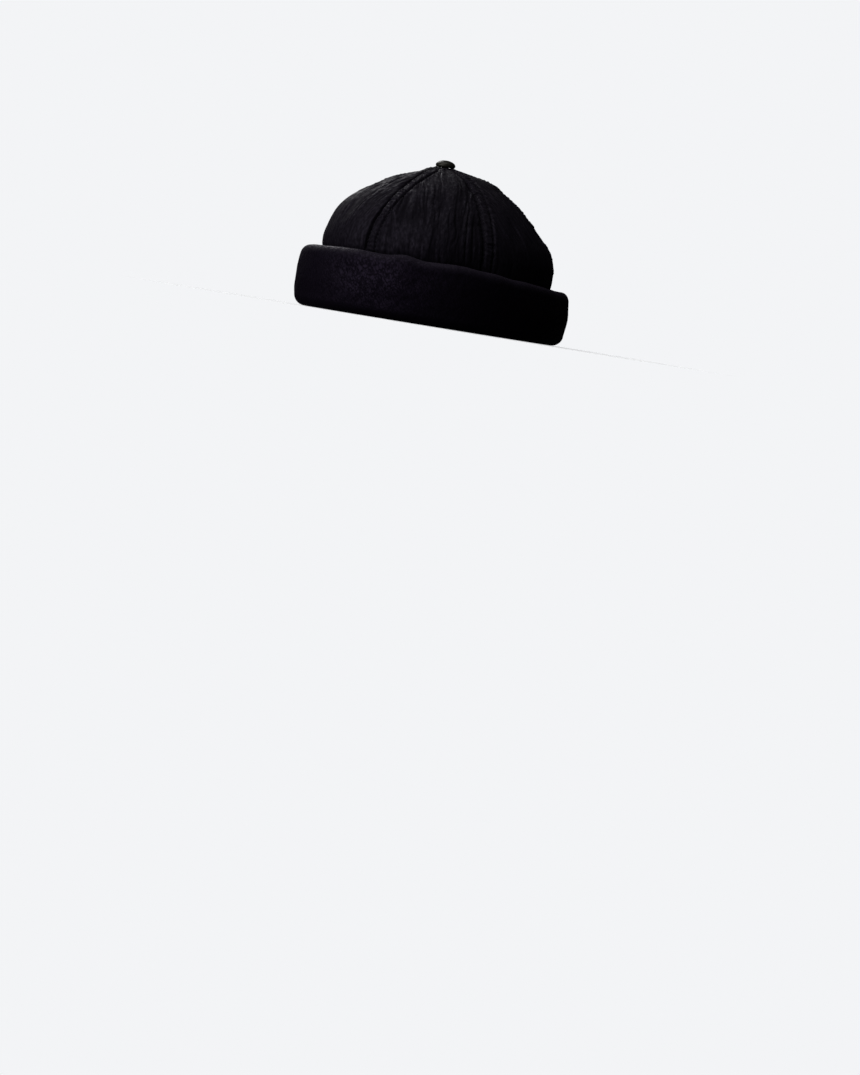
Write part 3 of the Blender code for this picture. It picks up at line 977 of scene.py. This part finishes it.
def cuff_material():
    """Smooth padded cloth with a fine net of slanting creases that carry painted shade, and a painted
    highlight along its crest.
    """
    material, tree, shader = new_cloth(CUFF_CLOTH)
    slant = crease_lines(tree, CUFF_SLANT, CUFF_SLANT_WIDTH)
    counter = crease_lines(tree, CUFF_COUNTER, CUFF_COUNTER_WIDTH)
    net = maths(tree, "MULTIPLY", slant, counter)
    weave = cloth_noise(tree, NYLON_WEAVE)
    broad = cloth_noise(tree, CUFF_PATCHES)
    rubbed = node(tree, "ShaderNodeAttribute", attribute_name="rubbed")
    # Painted shade in the creases of the net.
    colour = colour_mix(tree, net, *CUFF_COLOURS)
    # Painted highlight along the crest.
    colour = colour_mix(tree, rubbed.outputs["Fac"], colour, PAINTED_HIGHLIGHT_COLOUR)
    rough = rough_creases(tree, net, broad, CUFF_ROUGHNESS, CUFF_GROOVE_ROUGHNESS)
    tree.links.new(colour, shader.inputs["Base Color"])
    tree.links.new(rough, shader.inputs["Roughness"])
    normal = bumps(tree, *zip((slant, counter, weave), CUFF_BUMPS))
    tree.links.new(normal, shader.inputs["Normal"])
    return material


def woven_material(cloth, grain, colours, roughness, depth):
    """A plain cloth or thread whose weave shows in its colour, its shine and its bumps."""
    material, tree, shader = new_cloth(cloth)
    weave = cloth_noise(tree, grain)
    colour = colour_mix(tree, span(tree, weave, 0.0, 1.0), *colours)
    tree.links.new(colour, shader.inputs["Base Color"])
    tree.links.new(span(tree, weave, *roughness), shader.inputs["Roughness"])
    tree.links.new(bumps(tree, (weave, depth)), shader.inputs["Normal"])
    return material


def button_material():
    """Satin cloth drawn tight over the button, near black with an olive cast."""
    return woven_material(BUTTON_CLOTH, BUTTON_WEAVE, BUTTON_COLOURS, BUTTON_ROUGHNESS, BUTTON_BUMP)


def thread_material():
    """Twisted thread, a little glossier than the cloth."""
    return woven_material(THREAD, THREAD_TWIST, THREAD_COLOURS, THREAD_ROUGHNESS, THREAD_BUMP)


def floor_material():
    """A pale matt floor that fades into the backdrop away from the cap."""
    material = bpy.data.materials.new("floor")
    material.use_nodes = True
    tree = material.node_tree
    tree.nodes.clear()
    place = node(tree, "ShaderNodeNewGeometry")
    away = node(tree, "ShaderNodeVectorMath", operation="LENGTH")
    matt = node(tree, "ShaderNodeBsdfDiffuse")
    matt.inputs["Color"].default_value = (*FLOOR_COLOUR, 1.0)
    glow = node(tree, "ShaderNodeEmission")
    glow.inputs["Color"].default_value = (*BACKDROP, 1.0)
    glow.inputs["Strength"].default_value = FLOOR_GLOW
    lit = node(tree, "ShaderNodeAddShader")
    clear = node(tree, "ShaderNodeBsdfTransparent")
    mixed = node(tree, "ShaderNodeMixShader")
    output = node(tree, "ShaderNodeOutputMaterial")
    tree.links.new(place.outputs["Position"], away.inputs[0])
    tree.links.new(ranged(tree, away.outputs["Value"], 0.0, 1.0, *FLOOR_FADE, smooth=True), mixed.inputs[0])
    tree.links.new(matt.outputs["BSDF"], lit.inputs[0])
    tree.links.new(glow.outputs["Emission"], lit.inputs[1])
    tree.links.new(lit.outputs["Shader"], mixed.inputs[1])
    tree.links.new(clear.outputs["BSDF"], mixed.inputs[2])
    tree.links.new(mixed.outputs["Shader"], output.inputs["Surface"])
    return material


def make_floor():
    """A round pale floor under the cap."""
    bpy.ops.mesh.primitive_circle_add(vertices=FLOOR_SIDES, radius=FLOOR_RADIUS, fill_type="NGON",
                                      location=(0, 0, -FLOOR_DROP))
    floor = bpy.context.object
    floor.name = "floor"
    floor.data.materials.append(floor_material())
    floor.visible_diffuse = False
    floor.visible_glossy = False


def make_world():
    """A pale backdrop for the camera and a dim fill for everything else."""
    world = bpy.data.worlds.new("studio")
    bpy.context.scene.world = world
    world.use_nodes = True
    tree = world.node_tree
    tree.nodes.clear()
    seen = node(tree, "ShaderNodeLightPath")
    backdrop = node(tree, "ShaderNodeBackground")
    backdrop.inputs["Color"].default_value = (*BACKDROP, 1.0)
    fill = node(tree, "ShaderNodeBackground")
    fill.inputs["Color"].default_value = (FILL, FILL, FILL, 1.0)
    mixed = node(tree, "ShaderNodeMixShader")
    output = node(tree, "ShaderNodeOutputWorld")
    tree.links.new(seen.outputs["Is Camera Ray"], mixed.inputs[0])
    tree.links.new(fill.outputs["Background"], mixed.inputs[1])
    tree.links.new(backdrop.outputs["Background"], mixed.inputs[2])
    tree.links.new(mixed.outputs["Shader"], output.inputs["Surface"])


def make_softbox(box):
    """A large soft light that faces the middle of the crown."""
    data = bpy.data.lights.new(box.name, "AREA")
    data.shape = "RECTANGLE"
    data.size = box.width
    data.size_y = box.height
    data.energy = box.power
    light = bpy.data.objects.new(box.name, data)
    bpy.context.scene.collection.objects.link(light)
    turn = math.radians(box.turn)
    rise = math.radians(box.elevation)
    back = Vector((math.sin(turn) * math.cos(rise), -math.cos(turn) * math.cos(rise), math.sin(rise)))
    light.location = back * box.reach + Vector((0, 0, WIDEST_HEIGHT))
    light.rotation_euler = (-back).to_track_quat("-Z", "Y").to_euler()


def view_axes(ahead, up):
    """A matrix with the axes right, up and ahead, from a view direction and a rough up."""
    ahead = ahead.normalized()
    up = (up - ahead * up.dot(ahead)).normalized()
    right = ahead.cross(up)
    return Matrix((right, up, ahead)).transposed()


def make_camera():
    """The photograph's camera: it sees the cap's foot edge on, and the cap tipped to the right."""
    data = bpy.data.cameras.new("camera")
    data.lens = LENS
    data.sensor_width = SENSOR
    camera = bpy.data.objects.new("camera", data)
    bpy.context.scene.collection.objects.link(camera)
    turn = math.radians(CAMERA_TURN)
    roll = math.radians(CAMERA_ROLL)
    place = Vector((math.sin(turn) * CAMERA_REACH, -math.cos(turn) * CAMERA_REACH, CAMERA_HEIGHT))
    focal = LENS / SENSOR * PHOTO_HEIGHT
    right = (FOOT_PIXEL[0] - PHOTO_WIDTH / 2) / focal
    above = (PHOTO_HEIGHT / 2 - FOOT_PIXEL[1]) / focal
    seen = view_axes(Vector((right, above, -1.0)), Vector((math.sin(roll), math.cos(roll), 0.0)))
    world = view_axes(-place, Vector((0.0, 0.0, 1.0)))
    camera.matrix_world = Matrix.Translation(place) @ (world @ seen.transposed()).to_4x4()
    bpy.context.scene.camera = camera
    bpy.context.scene.view_settings.view_transform = "Standard"


def main():
    make_camera()
    make_world()
    make_floor()
    for box in SOFTBOXES:
        make_softbox(box)
    crown_cloth = crown_material()
    grids = [gore_grid(number) for number in range(1, GORES + 1)]
    for number, grid in enumerate(grids, start=1):
        panel = make_gore(number, grid, crown_cloth)
        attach(panel, "root")
        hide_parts(f"crown_gore_{number}")
    cuff = make_cuff(cuff_material())
    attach(cuff, "root")
    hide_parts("cuff")
    button = make_button(button_material())
    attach(button, "root")
    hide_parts("top_button")
    stitches = make_stitches(grids, thread_material())
    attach(stitches, "root")


main()
